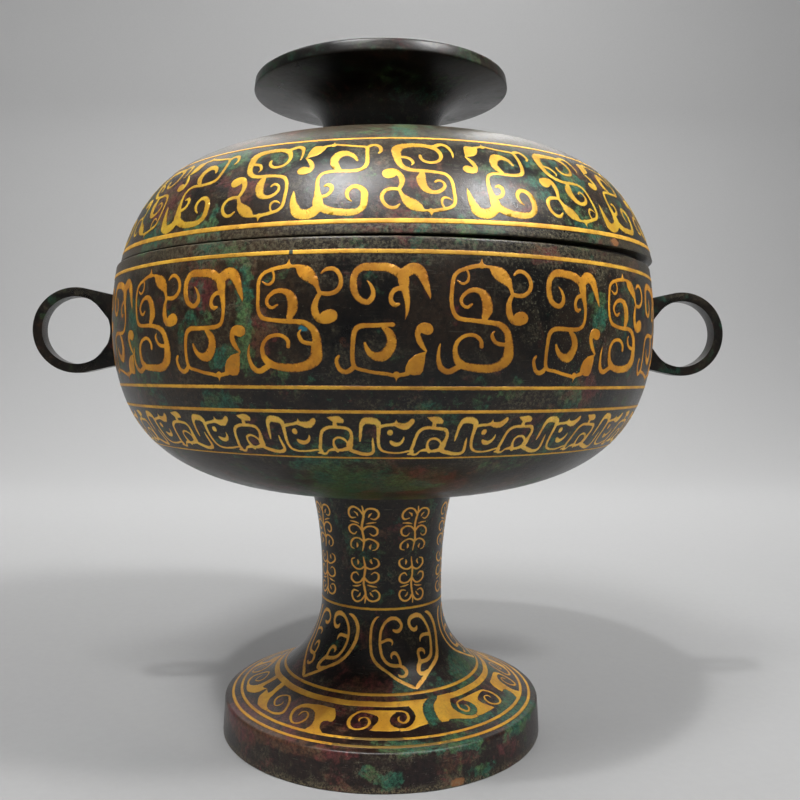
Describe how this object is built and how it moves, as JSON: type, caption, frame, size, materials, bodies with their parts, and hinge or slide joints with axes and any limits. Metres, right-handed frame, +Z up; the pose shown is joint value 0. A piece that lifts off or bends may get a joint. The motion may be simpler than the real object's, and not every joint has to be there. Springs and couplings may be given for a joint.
{
  "type": "bronze dou vessel",
  "caption": "Lidded round bowl on a hollow flared foot, with two ring handles, a dished crown as the lid's grip and inlaid gold lines.",
  "frame": {"origin": "centre of the foot's underside, on the vessel's axis", "axes": "+Z up along the vessel's axis, +X through the ring handles to the right, -Y towards the front seen in the picture"},
  "size_m": [0.2388, 0.18, 0.2222],
  "materials": {
    "cast_bronze": "polished dark bronze with brown, red and green patina",
    "gold_wire": "burnished gold inlay"
  },
  "bodies": {
    "vessel": {"stem_foot": "cast_bronze", "bowl": "cast_bronze", "ring_handle_right": "cast_bronze", "ring_handle_left": "cast_bronze", "foot_gold_line_1": "gold_wire", "foot_gold_line_2": "gold_wire", "foot_gold_line_3": "gold_wire", "foot_gold_line_4": "gold_wire", "stem_gold_line": "gold_wire", "bowl_rim_gold_line": "gold_wire", "bowl_belly_gold_line": "gold_wire", "bowl_band_top_gold_line": "gold_wire", "bowl_band_low_gold_line": "gold_wire"},
    "lid": {"lid": "cast_bronze", "lid_crown": "cast_bronze", "lid_rim_gold_line": "gold_wire", "lid_shoulder_gold_line": "gold_wire", "lid_neck_gold_line": "gold_wire"}
  },
  "joints": [
    {"name": "lid_lift", "type": "slide", "parent": "vessel", "child": "lid", "axis": [0, 0, 1], "range_m": [0, 0.15]}
  ]
}
